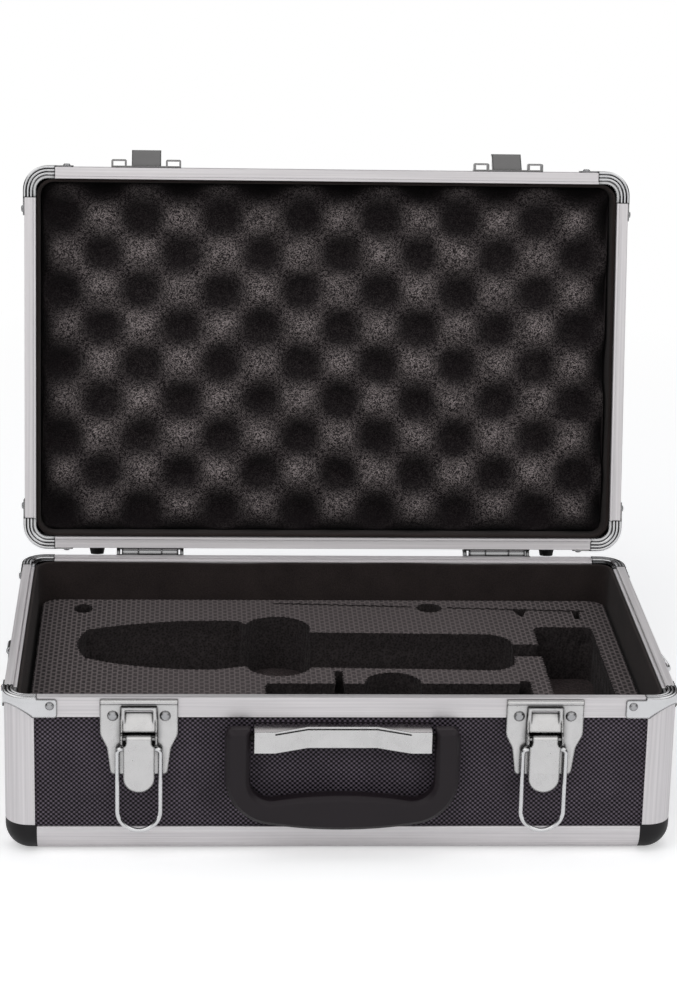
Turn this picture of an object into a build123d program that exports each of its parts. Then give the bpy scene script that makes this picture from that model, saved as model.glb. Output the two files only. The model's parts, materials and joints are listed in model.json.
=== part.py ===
from build123d import *
from math import atan2, cos, degrees, pi, radians, sin, sqrt
import os

# A tool case of panels held in aluminium extrusions, standing open. Millimetres, +Z up, the front at -Y,
# the origin at the middle of the base's underside. The lid is drawn shut and then swung open on its hinges.

# Case
case_width = 340.0
case_depth = 215.0
base_height = 86.0
lid_height = 37.0
lid_open_angle = 101.0
rim_gap = 0.8

# Panels and extrusions
extrusion_wall = 1.2
panel_thickness = 3.8
panel_fit = 0.1
edge_radius = 13.0
edge_flange = 15.6
rim_flange = 10.6
rim_web = 2.8
rim_step = 1.4
tongue_width = 1.3
tongue_height = 1.6
tongue_clearance = 0.5
butt_gap = 0.1

# Corners
ball_corner_size = 16.4
rim_corner_length = 17.0
corner_sheet = 0.8
corner_fit = 0.05
corner_skirt_drop = 0.2
corner_arch_height = 5.0
corner_tab_length = 10.2
corner_tab_drop = 0.9
corner_tab_rounding = 1.5
rib_count = 3
rib_rise = 0.25
rib_groove = 0.35
corner_rivet_reach = 6.5
corner_rivet_drop = 4.4
corner_rivet_radius = 2.3

# Lining and foam
lining_thickness = 1.8
lining_fit = 0.1
lining_corner_radius = 8.0
lining_below_rim = 2.0
foam_below_rim = 23.0
foam_top_layer = 31.5
foam_side_gap = 2.9
foam_corner_radius = 9.0
lid_foam_height = 25.7
lid_foam_gap = 0.5
crate_amplitude = 8.0
crate_pitch_x = 45.0
crate_pitch_y = 41.8
crate_peak_x = -14.0
crate_peak_y = 17.0
crate_peak_foot = 15.6
crate_peak_shoulder = 9.6
crate_peak_round = 4.5
crate_peak_top = 4.8
crate_peak_sides = 12
crate_root = 2.0

# Hinges
hinge_inset = 71.0
hinge_offset = 2.6
hinge_plate_width = 38.0
hinge_barrel_length = 31.0
hinge_middle_knuckle = 13.0
hinge_knuckle_radius = 2.3
hinge_knuckle_gap = 0.2
hinge_pin_radius = 1.2
hinge_pin_head = 0.6
hinge_pin_head_radius = 1.9
hinge_leaf_clearance = 0.8
hinge_sheet = 1.1
hinge_ear = 2.0
hinge_ear_reach = 8.2
hinge_ear_drop = 9.0
stop_gap = 0.3
running_fit = 0.05
hinge_rivet_x = 10.0

# Draw latches
latch_inset = 68.0
latch_width = 39.0
latch_top_drop = 2.0
latch_length = 39.0
latch_straight = 17.6
latch_taper = 7.0
latch_waist_width = 32.0
latch_foot_width = 28.4
latch_waist_round = 9.0
latch_foot_round = 2.2
latch_sheet = 1.2
latch_roll_radius = 1.2
latch_rivet_x = 13.1
latch_rivet_drop = 9.4
latch_rivet_radius = 2.9
latch_ear = 1.0
latch_ear_gap = 0.4
latch_ear_radius = 3.2
window_half_width = 6.9
window_top_drop = 6.2
window_foot_drop = 17.2
window_frame = 2.0
window_frame_rise = 1.4
window_top_bar = 1.8
ramp_rise = 2.8
ramp_sheet = 0.8
lever_width = 15.6
lever_neck_width = 12.6
lever_neck_length = 1.8
lever_neck_taper = 3.2
lever_pivot_drop = 20.5
lever_pivot_out = 4.6
lever_pin_radius = 1.0
lever_roll_radius = 2.2
lever_sheet = 1.2
lever_length = 28.1
lever_cheek = 1.0
lever_cheek_depth = 3.8
bail_drop = 5.5
bail_wire_radius = 1.2
bail_leg_x = 10.8
bail_length = 44.3
bail_bend = 2.2
bail_stub_inset = 0.4

# Keepers
keeper_plate_start = 1.4
keeper_sheet = 1.0
keeper_wing_width = 8.5
keeper_wing_height = 4.6
keeper_wing_length = 6.6
keeper_hook_width = 16.5
keeper_hook_height = 9.7
keeper_hook_sheet = 1.2
keeper_hook_slope = 8.0
keeper_hook_root = 3.2
keeper_hook_bend = 1.6
keeper_seat_clearance = 0.3
keeper_lip = 4.4
keeper_rivet_x = 14.5
keeper_rivet_radius = 2.3

# Handle
bracket_half_width = 44.5
bracket_top_drop = 13.8
bracket_height = 11.6
bracket_out = 11.7
bracket_middle_out = 4.6
bracket_middle_half = 17.5
bracket_shoulder = 34.0
bracket_sheet = 1.2
bracket_groove = 0.6
handle_pivot_drop = 18.4
handle_thickness = 10.0
handle_back_gap = 2.0
handle_pin_radius = 2.0
handle_pin_depth = 6.0
handle_pin_head = 1.0
handle_arm_inner = 46.6
handle_arm_outer = 58.8
handle_reach = 49.3
handle_bottom_rise = 7.5
handle_grip_height = 18.7
handle_hump = 5.4
handle_outer_round = 25.0
handle_inner_round = 11.0
handle_top_round = 4.5
handle_edge = 2.2

# Strap rings
ring_plate_depth = 22.0
ring_plate_height = 13.0
ring_axis_drop = 15.0
ring_axis_out = 1.7
ring_barrel_radius = 2.4
ring_barrel_length = 10.0
ring_wire_radius = 1.2
ring_half_width = 11.0
ring_shoulder = 4.0
ring_bend = 2.6
ring_sheet = 1.2
ring_rivet_y = 7.0
ring_rivet_drop = 8.2
ring_right_swing = 45.0

# Feet
foot_inset = 40.5
foot_clearance = 0.3
foot_taper = 1.4
foot_height = 5.5
base_foot_height = 28.0

small_rivet_radius = 2.2
rivet_height = 1.1
rivet_top_share = 0.6
rivet_sides = 12
wire_sides = 12

# Sizes that follow from those above
slot_width = panel_thickness + 2 * panel_fit
wall_depth = 2 * extrusion_wall + slot_width
panel_face = extrusion_wall + panel_fit
panel_back = panel_face + panel_thickness
skin_radius = edge_radius - extrusion_wall
panel_end = edge_radius - sqrt(skin_radius**2 - (edge_radius - panel_face) ** 2) + panel_fit
rim_land = wall_depth - tongue_width - tongue_clearance
lining_face = wall_depth + lining_fit
lining_inside = lining_face + lining_thickness
half_width = case_width / 2
half_depth = case_depth / 2
lid_rim_z = base_height + rim_gap
corner_skirt = rim_flange + corner_skirt_drop
corner_face = -corner_fit - corner_sheet
foam_top = base_height - foam_below_rim
foot_x = half_width - foot_inset
foot_radius = (lid_height - edge_flange - rim_flange) / 2 - foot_clearance
hinge_x = half_width - hinge_inset
hinge_y = half_depth + hinge_offset
hinge_z = base_height + rim_gap / 2
hinge_leaf_height = lid_height - edge_flange - hinge_leaf_clearance
hinge_foot_start = rim_flange + panel_fit + panel_face
latch_x = half_width - latch_inset
latch_top = base_height - latch_top_drop
latch_bottom = latch_top - latch_length
plate_face = -half_depth - latch_sheet
lever_pivot_y = -half_depth - lever_pivot_out
lever_pivot_z = base_height - lever_pivot_drop
bail_axis_z = lever_pivot_z - bail_drop
keeper_seat_z = bail_axis_z + bail_length - bail_wire_radius - keeper_seat_clearance
keeper_bend_z = lid_rim_z + rim_flange + panel_fit
keeper_foot_z = keeper_bend_z + panel_face
keeper_end_z = lid_rim_z + lid_height - edge_flange - panel_fit
bracket_top = base_height - bracket_top_drop
bracket_bottom = bracket_top - bracket_height
handle_y = -half_depth - handle_back_gap - handle_thickness / 2
handle_pivot_z = base_height - handle_pivot_drop
ring_axis_z = base_height - ring_axis_drop
ring_plate_bottom = ring_axis_z - ring_plate_height
corner_turns = [(-1, -1), (1, -1), (1, 1), (-1, 1)]


def block(x0, x1, y0, y1, z0, z1):
    """A block between two limits along each axis."""
    return Pos((x0 + x1) / 2, (y0 + y1) / 2, (z0 + z1) / 2) * Box(x1 - x0, y1 - y0, z1 - z0)


def outline(points):
    """A flat face inside straight edges through the points."""
    return make_face(Polyline(*points, close=True))


def along_x(face, x0, x1):
    """A face drawn in (Y, Z), drawn out along X from x0 to x1."""
    section = Plane(origin=(x0, 0, 0), x_dir=(0, 1, 0), z_dir=(1, 0, 0)) * face
    return extrude(section, amount=x1 - x0)


def facing_front(face, y, thickness):
    """A face drawn in (X, Z), its back at y and drawn out towards the front."""
    section = Plane(origin=(0, y, 0), x_dir=(1, 0, 0), z_dir=(0, -1, 0)) * face
    return extrude(section, amount=thickness)


def rod(radius, x0, x1, y, z):
    """A round bar along X."""
    return Pos((x0 + x1) / 2, y, z) * Rot(0, 90, 0) * Cylinder(radius, x1 - x0)


def tapered(sides, start, end, height):
    """A many-sided frustum standing on Z = 0, from one radius at its corners to another."""
    lean = degrees(atan2((start - end) * cos(pi / sides), height))
    return extrude(RegularPolygon(start, sides), amount=height, taper=lean)


def rivet_head(radius):
    """A low rivet head standing on Z = 0."""
    return tapered(rivet_sides, radius, radius * rivet_top_share, rivet_height)


def front_rivet(radius, x, y, z):
    """A rivet head on a surface that faces the front."""
    return Pos(x, y, z) * Rot(90, 0, 0) * rivet_head(radius)


def rear_rivet(radius, x, y, z):
    """A rivet head on a surface that faces the rear."""
    return Pos(x, y, z) * Rot(-90, 0, 0) * rivet_head(radius)


def both_sides(solid):
    """A solid and its mirror image on the other side of the case."""
    return [solid, mirror(solid, about=Plane.YZ)]


def around(make):
    """Front, right, rear and left pieces. Each is drawn centred on X, its outer face at Y = 0, inside at +Y."""
    walls = []
    for turn in range(4):
        length = case_width if turn % 2 == 0 else case_depth
        reach = half_depth if turn % 2 == 0 else half_width
        walls.append(Rot(0, 0, 90 * turn) * Pos(0, -reach, 0) * make(length))
    return walls


def at_corners(piece):
    """Four copies of a piece that is drawn with the front left corner at the origin, inside at +X and +Y."""
    copies = []
    for turn, (side, end) in enumerate(corner_turns):
        copies.append(Pos(side * half_width, end * half_depth, 0) * Rot(0, 0, 90 * turn) * piece)
    return copies


def shut_lid(tray_piece):
    """Turns a piece of a tray, drawn with its rim up, over onto the base as part of the shut lid."""
    return Pos(0, 0, lid_rim_z + lid_height) * Rot(180, 0, 0) * tray_piece


def open_lid(piece):
    """Swings a piece of the shut lid open on the hinge axis."""
    swing = Pos(0, hinge_y, hinge_z) * Rot(-lid_open_angle, 0, 0) * Pos(0, -hinge_y, -hinge_z)
    return swing * piece


def corner_square(start, end, radius):
    """A square in the corner of an extrusion, its outer corner rounded."""
    side = end - start
    square = Pos(start + side / 2, start + side / 2) * Rectangle(side, side)
    if radius > 0:
        nearest = square.vertices().sort_by(lambda corner: corner.X + corner.Y)[0]
        square = fillet(nearest, radius)
    return square


def edge_section():
    """Edge extrusion: a rounded skin, an inner angle of two lips and the bead that ties them together.
    The gaps between skin and lips are the panel slots."""
    skin = corner_square(0, edge_flange, edge_radius)
    hollow = corner_square(extrusion_wall, edge_flange, skin_radius)
    lips = corner_square(extrusion_wall + slot_width, edge_flange, 0) - corner_square(wall_depth, edge_flange, 0)
    bead = skin & corner_square(0, wall_depth, 0)
    return (skin - hollow) + lips + bead


def rim_section(with_tongue):
    """Rim extrusion in (depth into the case, height over the rim): two flanges over the panel's edge under a
    top that has a step on the base and a tongue, which drops into that step, on the lid."""
    inner = wall_depth - extrusion_wall
    top = [(0, 0), (rim_land, 0), (rim_land, -rim_step), (wall_depth, -rim_step)]
    if with_tongue:
        shoulder = wall_depth - tongue_width
        top = [(0, 0), (shoulder, 0), (shoulder, tongue_height), (wall_depth, tongue_height)]
    legs = [
        (wall_depth, -rim_flange),
        (inner, -rim_flange),
        (inner, -rim_web),
        (extrusion_wall, -rim_web),
        (extrusion_wall, -rim_flange),
        (0, -rim_flange),
    ]
    return outline(top + legs)


def wall_panels(height):
    """Four wall panels of a tray, standing in the slots of the posts, edge rails and rim."""
    top = height - rim_web - panel_fit

    def panel(length):
        half = length / 2 - panel_end
        return block(-half, half, panel_face, panel_back, panel_end, top)

    return around(panel)


def floor_panel():
    """Flat panel that closes the bottom of a tray."""
    x = half_width - panel_end
    y = half_depth - panel_end
    return block(-x, x, -y, y, panel_face, panel_back)


def rim_rails(height, with_tongue):
    """Four rim extrusions between the rim corners."""
    section = Pos(0, height) * rim_section(with_tongue)

    def rail(length):
        half = length / 2 - rim_corner_length - butt_gap
        return along_x(section, -half, half)

    return around(rail)


def edge_rails():
    """Four edge extrusions round the bottom of a tray, between the ball corners."""
    section = edge_section()

    def rail(length):
        half = length / 2 - ball_corner_size - butt_gap
        return along_x(section, -half, half)

    return around(rail)


def corner_posts(height):
    """Four upright extrusions between the ball corners and the rim corners."""
    foot = ball_corner_size + butt_gap
    length = height - rim_web - butt_gap - foot
    return at_corners(Pos(0, 0, foot) * extrude(edge_section(), amount=length))


def ball_corner():
    """Moulded corner: a block with a ball-shaped outer corner, hollow inside, with a slot for each panel."""
    size = ball_corner_size
    body = block(0, size, 0, size, 0, size)
    nearest = body.edges().sort_by(lambda e: e.center().X + e.center().Y + e.center().Z)[:3]
    body = fillet(nearest, edge_radius)
    body -= block(wall_depth, size, wall_depth, size, wall_depth, size)
    near = panel_end - panel_fit
    skin = extrusion_wall
    deep = skin + slot_width
    body -= block(near, size, skin, deep, near, size)
    body -= block(skin, deep, near, size, near, size)
    body -= block(near, size, near, size, skin, deep)
    return body


def rib_section():
    """Top of a rim corner in (distance from the turning axis, height over the rim): round ribs side by side
    on the outside and the lower inner lip beside them."""
    outer = edge_radius - corner_face
    land = edge_radius - rim_land
    inner = edge_radius - wall_depth
    width = (outer - land) / rib_count
    edges = []
    for rib in range(rib_count):
        start = outer - rib * width
        valley = (start, -rib_groove)
        crest = (start - width / 2, rib_rise)
        edges.append(ThreePointArc(valley, crest, (start - width, -rib_groove)))
    rest = [(land, -rib_groove), (land, -rim_step), (inner, -rim_step), (inner, -rim_web)]
    rest += [(outer, -rim_web), (outer, -rib_groove)]
    edges.append(Polyline(*rest))
    return make_face(edges)


def round_the_corner(section, straight):
    """Carries a section, drawn in (distance from the turning axis, height), round a corner and a little way
    straight on at each end."""
    upright = Plane.XZ * section
    turn = Pos(edge_radius, edge_radius) * Rot(0, 0, 180) * revolve(upright, Axis.Z, 90)
    centre = (edge_radius, edge_radius, 0)
    along_front = Plane(origin=centre, x_dir=(0, -1, 0), z_dir=(-1, 0, 0)) * section
    along_side = Plane(origin=centre, x_dir=(-1, 0, 0), z_dir=(0, 1, 0)) * section
    return turn + extrude(along_front, amount=-straight) + extrude(along_side, amount=straight)


def rim_corner():
    """Pressed chrome corner, its rim plane at Z = 0: ribs on top, a skirt over the post that rises in an arch
    at the corner, and a riveted tab along each rim rail."""
    straight = rim_corner_length - edge_radius
    skirt_section = Pos(edge_radius + corner_fit + corner_sheet / 2, -(corner_skirt + rim_web) / 2) * Rectangle(
        corner_sheet, corner_skirt - rim_web
    )
    skirt = round_the_corner(skirt_section, straight)
    half_chord = edge_flange / sqrt(2)
    rise = corner_skirt - corner_arch_height
    arch_radius = (half_chord**2 + rise**2) / (2 * rise)
    arch = Rot(0, 0, 45) * Rot(0, 90, 0) * Cylinder(arch_radius, 4 * edge_radius)
    skirt -= Pos(0, 0, -corner_arch_height - arch_radius) * arch
    tab_middle = rim_corner_length + corner_tab_length / 2
    tab_height = corner_skirt - corner_tab_drop
    tab_face = Pos(tab_middle, -(corner_skirt + corner_tab_drop) / 2) * Rectangle(corner_tab_length, tab_height)
    outer_corners = tab_face.vertices().group_by(Axis.X)[-1]
    tab = facing_front(fillet(outer_corners, corner_tab_rounding), -corner_fit, corner_sheet)
    side_tab = mirror(tab, about=Plane((0, 0, 0), z_dir=(1, -1, 0)))
    return round_the_corner(rib_section(), straight) + skirt + tab + side_tab


def rim_corners(height):
    """The four chrome corners of a rim."""
    return at_corners(Pos(0, 0, height) * rim_corner())


def corner_rivets(height):
    """Two rivets on each rim corner, one in each tab."""
    reach = rim_corner_length + corner_rivet_reach
    z = height - corner_rivet_drop
    front = front_rivet(corner_rivet_radius, reach, corner_face, z)
    side = Pos(corner_face, reach, z) * Rot(0, -90, 0) * rivet_head(corner_rivet_radius)
    return at_corners(front) + at_corners(side)


def lining(height):
    """Thin board bent round the inside of the four walls."""
    z0 = lining_face
    x = case_width - 2 * lining_face
    y = case_depth - 2 * lining_face
    outer = RectangleRounded(x, y, lining_corner_radius + lining_thickness)
    inner = RectangleRounded(x - 2 * lining_thickness, y - 2 * lining_thickness, lining_corner_radius)
    return Pos(0, 0, z0) * extrude(outer - inner, amount=height - lining_below_rim - z0)


def foam_outline():
    """Outline of the foam in the base."""
    x = case_width - 2 * (lining_inside + foam_side_gap)
    y = case_depth - 2 * (lining_inside + foam_side_gap)
    return RectangleRounded(x, y, foam_corner_radius)


def foam_base_layer():
    """Plain foam under the cut layer."""
    return Pos(0, 0, lining_face) * extrude(foam_outline(), amount=foam_top - foam_top_layer - lining_face)


def tool_recess():
    """Long recess: a tapered head, a wide collar and a straight shaft with a rounded end."""
    return make_face(
        [
            ThreePointArc((-132.4, 5.2), (-137.5, 27.0), (-132.5, 48.0)),
            ThreePointArc((-132.5, 48.0), (-93.0, 60.3), (-49.4, 62.4)),
            Line((-49.4, 62.4), (-45.6, 57.0)),
            ThreePointArc((-45.6, 57.0), (-28.0, 69.4), (-10.8, 45.0)),
            Line((-10.8, 45.0), (88.0, 42.6)),
            ThreePointArc((88.0, 42.6), (96.8, 37.6), (100.1, 27.0)),
            Line((100.1, 27.0), (99.2, 3.0)),
            ThreePointArc((99.2, 3.0), (95.8, -6.6), (86.0, -11.5)),
            Line((86.0, -11.5), (-11.5, -7.8)),
            ThreePointArc((-11.5, -7.8), (-28.0, -20.7), (-46.4, -6.1)),
            Line((-46.4, -6.1), (-61.4, -11.0)),
            ThreePointArc((-61.4, -11.0), (-96.0, -8.6), (-132.4, 5.2)),
        ]
    )


def cable_recess():
    """Deep rectangular pocket at the right and the channel that joins it to the long recess."""
    pocket = Pos(130.8, -3.0) * RectangleRounded(33.0, 114.0, 5.0)
    channel = Pos(107.5, 18.1) * Rectangle(18.0, 18.0)
    return pocket + channel


def front_recess():
    """Recess behind the front wall, with a round bulge, a narrow notch and a small one at its right end."""
    bay = Pos(33.5, -52.0) * RectangleRounded(141.0, 42.0, 3.0)
    bulge = Pos(31.0, -30.0) * Circle(15.0)
    notch = Pos(2.6, -24.0) * Rectangle(4.6, 22.0)
    end_notch = Pos(101.2, -32.0) * RectangleRounded(6.0, 10.0, 2.0)
    return bay + bulge + notch + end_notch


def small_holes():
    """An eye-shaped hole at the rear and an oval one in the rear left corner."""
    eye = make_face(
        [
            ThreePointArc((51.6, 84.2), (58.8, 91.0), (66.2, 83.6)),
            ThreePointArc((66.2, 83.6), (58.8, 77.0), (51.6, 84.2)),
        ]
    )
    return eye + Pos(-136.0, 81.5) * Ellipse(5.2, 7.0)


def foam_cut_layer():
    """Foam with the recesses cut right through, down to the plain layer."""
    face = foam_outline() - tool_recess() - cable_recess() - front_recess() - small_holes()
    return Pos(0, 0, foam_top - foam_top_layer) * extrude(face, amount=foam_top_layer)


def foam_peak():
    """One peak of the egg-crate foam, standing on Z = 0: a tapered foot, a rounder shoulder and a flat top."""
    shoulder = 2 * crate_amplitude - crate_peak_round
    sides = crate_peak_sides
    root = Pos(0, 0, -crate_root) * extrude(RegularPolygon(crate_peak_foot, sides), amount=crate_root)
    foot = tapered(sides, crate_peak_foot, crate_peak_shoulder, shoulder)
    top = tapered(sides, crate_peak_shoulder, crate_peak_top, crate_peak_round)
    return root + foot + Pos(0, 0, shoulder) * top


def convoluted_foam():
    """Egg-crate foam for the lid, drawn with its peaks up: a slab with peaks at every other place of a grid."""
    x_half = half_width - lining_inside - lid_foam_gap
    y_half = half_depth - lining_inside - lid_foam_gap
    z0 = lining_face
    floor = z0 + lid_foam_height - 2 * crate_amplitude
    face = RectangleRounded(2 * x_half, 2 * y_half, lining_corner_radius - lid_foam_gap)
    slab = Pos(0, 0, z0) * extrude(face, amount=floor - z0)
    room = Pos(0, 0, z0) * extrude(face, amount=lid_foam_height)
    peaks = []
    for row in range(-6, 7):
        y = crate_peak_y + row * crate_pitch_y / 2
        shift = crate_pitch_x / 2 * (row % 2)
        for column in range(-4, 5):
            x = crate_peak_x + shift + column * crate_pitch_x
            if abs(x) < x_half + crate_peak_foot and abs(y) < y_half + crate_peak_foot:
                peaks.append(Pos(x, y, floor) * foam_peak() & room)
    return slab + [peak for peak in peaks if peak]


def leaf_section():
    """Hinge leaf in (distance behind the case, height over the hinge axis): a sheet from the barrel, flat on the
    rim rail, with a set-back foot that lies on the panel."""
    half_gap = rim_gap / 2
    bend = half_gap + rim_flange + panel_fit
    foot = half_gap + hinge_foot_start
    end = half_gap + hinge_leaf_height
    sheet = hinge_sheet
    return outline(
        [
            (0, 0),
            (0, bend),
            (-panel_face, foot),
            (-panel_face, end),
            (sheet - panel_face, end),
            (sheet - panel_face, foot),
            (sheet, bend),
            (sheet, 0),
        ]
    )


def hinge_leaf(knuckles, clear, ears):
    """One leaf with its plate above the axis. knuckles and clear are X ranges with and without a knuckle."""
    half = hinge_plate_width / 2
    barrel_half = hinge_barrel_length / 2
    section = Pos(half_depth, hinge_z) * leaf_section()
    room = hinge_knuckle_radius + stop_gap
    leaf = along_x(section, -half, half)
    for x0, x1 in clear + [(-half, -barrel_half), (barrel_half, half)]:
        leaf -= rod(room, x0, x1, hinge_y, hinge_z)
        leaf -= block(x0, x1, half_depth - panel_face, hinge_y, hinge_z - room, hinge_z)
    for x0, x1 in knuckles:
        leaf += rod(hinge_knuckle_radius, x0, x1, hinge_y, hinge_z)
    leaf -= rod(hinge_pin_radius + running_fit, -half, half, hinge_y, hinge_z)
    for side in ears:
        leaf += side
    return leaf


def stop_ears():
    """Gussets at the ends of the fixed leaf. The open lid's leaf rests on their sloping upper edges.
    Drawn with the fixed leaf below the axis."""

    def under_open_leaf(height):
        turn = radians(lid_open_angle)
        out = hinge_sheet - hinge_offset + stop_gap
        y = hinge_y + out * cos(turn) + height * sin(turn)
        z = hinge_z - out * sin(turn) + height * cos(turn)
        return y, z

    face = half_depth + hinge_sheet
    near = under_open_leaf(hinge_knuckle_radius + stop_gap)
    far = under_open_leaf(hinge_ear_reach)
    low = base_height - hinge_ear_drop
    high = hinge_z - hinge_knuckle_radius - stop_gap
    gusset = outline([(face - stop_gap, low), far, near, (near[0] - hinge_knuckle_radius, high), (face - stop_gap, high)])
    half = hinge_plate_width / 2
    return [along_x(gusset, half - hinge_ear, half), along_x(gusset, -half, hinge_ear - half)]


def hinge_parts():
    """Fixed leaf, moving leaf and pin of one hinge, at X = 0 with the lid shut."""
    barrel_half = hinge_barrel_length / 2
    middle = hinge_middle_knuckle / 2
    outer_start = middle + hinge_knuckle_gap
    outer = [(-barrel_half, -outer_start), (outer_start, barrel_half)]
    moving = hinge_leaf([(-middle, middle)], outer, [])
    upright = hinge_leaf(outer, [(-outer_start, outer_start)], [])
    fixed = mirror(upright, about=Plane((0, 0, hinge_z), z_dir=(0, 0, 1)))
    for ear in stop_ears():
        fixed += ear
    pin = rod(hinge_pin_radius, -barrel_half, barrel_half, hinge_y, hinge_z)
    for side in (-1, 1):
        x0 = side * barrel_half
        x1 = side * (barrel_half + hinge_pin_head)
        pin += rod(hinge_pin_head_radius, min(x0, x1), max(x0, x1), hinge_y, hinge_z)
    return fixed, moving, pin


def hinge_rivets(z):
    """Rivets through the set-back foot of each hinge leaf."""
    y = half_depth - panel_face + hinge_sheet
    rivets = []
    for side in (-1, 1):
        for offset in (-hinge_rivet_x, hinge_rivet_x):
            rivets.append(rear_rivet(small_rivet_radius, side * hinge_x + offset, y, z))
    return rivets


def latch_outline():
    """Shield-shaped outline of a latch plate in (X, Z), waisted in a flat S on each side."""
    top = latch_width / 2
    waist = latch_waist_width / 2
    foot = latch_foot_width / 2
    shoulder = latch_top - latch_straight
    corners = [(top, latch_top), (top, shoulder), (waist, shoulder - latch_taper), (foot, latch_bottom)]
    face = outline(corners + [(-x, z) for x, z in reversed(corners)])
    levels = face.vertices().group_by(Axis.Y)
    face = fillet(levels[1] + levels[2], latch_waist_round)
    return fillet(face.vertices().group_by(Axis.Y)[0], latch_foot_round)


def latch_plate():
    """Latch plate at X = 0: a flat sheet with its edges turned back onto the panel and a rolled top edge. Down
    the middle run two raised rails with a bar across their top, a ramp between them, and an ear below each
    that carries the lever's pin."""
    shield = latch_outline()
    window_top = base_height - window_top_drop
    window_foot = base_height - window_foot_drop
    window = Pos(0, (window_top + window_foot) / 2) * Rectangle(2 * window_half_width, window_top - window_foot)
    plate = facing_front(shield - window, -half_depth, latch_sheet)
    below_rim = base_height - rim_flange - panel_fit
    under = Pos(0, (below_rim + latch_bottom) / 2) * Rectangle(latch_width, below_rim - latch_bottom)
    turned = (shield - offset(shield, -latch_sheet)) & under
    plate += facing_front(turned, panel_face - half_depth, panel_face)
    roll_y = -half_depth - latch_roll_radius
    plate += rod(latch_roll_radius, -latch_width / 2, latch_width / 2, roll_y, latch_top)
    rail_end = window_half_width + window_frame
    frame_top = window_top + window_top_bar
    frame = Pos(0, (frame_top + window_foot) / 2) * Rectangle(2 * rail_end, frame_top - window_foot)
    plate += facing_front(frame - window, plate_face, window_frame_rise)
    ramp = outline(
        [
            (plate_face + latch_sheet, window_top - window_top_bar),
            (plate_face + latch_sheet - ramp_sheet, window_top - window_top_bar),
            (plate_face - ramp_rise, window_foot),
            (plate_face - ramp_rise + ramp_sheet, window_foot),
        ]
    )
    plate += along_x(ramp, -rail_end + latch_ear / 2, rail_end - latch_ear / 2)
    eye = Pos(lever_pivot_y, lever_pivot_z) * Circle(latch_ear_radius)
    web = outline(
        [
            (plate_face, lever_pivot_z - latch_ear_radius),
            (lever_pivot_y, lever_pivot_z - latch_ear_radius),
            (lever_pivot_y, lever_pivot_z + latch_ear_radius),
            (plate_face, window_top),
        ]
    )
    ear_start = lever_width / 2 + latch_ear_gap
    ear = along_x(eye + web, ear_start, ear_start + latch_ear)
    plate += ear
    plate += mirror(ear, about=Plane.YZ)
    bore = lever_pin_radius + running_fit
    return plate - rod(bore, -latch_width, latch_width, lever_pivot_y, lever_pivot_z)


def lever_pin():
    """Pin of one latch lever, flush with the outside of the ears."""
    reach = lever_width / 2 + latch_ear_gap + latch_ear
    return rod(lever_pin_radius, -reach, reach, lever_pivot_y, lever_pivot_z)


def latch_lever():
    """Latch lever at X = 0: a tongue with a round end and a narrower neck, rolled round its pin, with two
    cheeks that hold the ends of the bail."""
    half = lever_width / 2
    neck = lever_neck_width / 2
    front = lever_pivot_y - lever_roll_radius
    end_centre = lever_pivot_z - lever_length + half
    neck_end = lever_pivot_z - lever_neck_length
    right = [(neck, lever_pivot_z), (neck, neck_end), (half, neck_end - lever_neck_taper), (half, end_centre)]
    tongue = outline(right + [(-x, z) for x, z in reversed(right)]) + Pos(0, end_centre) * Circle(half)
    lever = facing_front(tongue, front + lever_sheet, lever_sheet)
    lever += rod(lever_roll_radius, -neck, neck, lever_pivot_y, lever_pivot_z)
    cheek_reach = lever_roll_radius
    cheek = block(
        half - lever_cheek, half, front, front + lever_cheek_depth, bail_axis_z - cheek_reach, bail_axis_z + cheek_reach
    )
    lever += cheek
    lever += mirror(cheek, about=Plane.YZ)
    lever -= rod(lever_pin_radius + running_fit, -half, half, lever_pivot_y, lever_pivot_z)
    return lever - rod(bail_wire_radius + running_fit, -half, half, lever_pivot_y, bail_axis_z)


def latch_bail():
    """Wire bail at X = 0: two legs joined by a half circle, their upper ends bent inwards into the lever."""
    stub = lever_width / 2 - lever_cheek - bail_stub_inset
    bottom = bail_axis_z - bail_length
    curve = bottom + bail_leg_x
    turn = bail_leg_x - bail_bend
    level = bail_axis_z - bail_bend
    corner = bail_bend * (1 - 1 / sqrt(2))
    path = Wire(
        [
            Line((-stub, bail_axis_z), (-turn, bail_axis_z)),
            ThreePointArc((-turn, bail_axis_z), (corner - bail_leg_x, bail_axis_z - corner), (-bail_leg_x, level)),
            Line((-bail_leg_x, level), (-bail_leg_x, curve)),
            ThreePointArc((-bail_leg_x, curve), (0, bottom), (bail_leg_x, curve)),
            Line((bail_leg_x, curve), (bail_leg_x, level)),
            ThreePointArc((bail_leg_x, level), (bail_leg_x - corner, bail_axis_z - corner), (turn, bail_axis_z)),
            Line((turn, bail_axis_z), (stub, bail_axis_z)),
        ]
    )
    hanging = Plane(origin=(0, lever_pivot_y, 0), x_dir=(1, 0, 0), z_dir=(0, -1, 0)) * path
    start = Plane(origin=(-stub, lever_pivot_y, bail_axis_z), z_dir=(-1, 0, 0))
    return sweep(start * RegularPolygon(bail_wire_radius, wire_sides), path=hanging)


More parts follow.
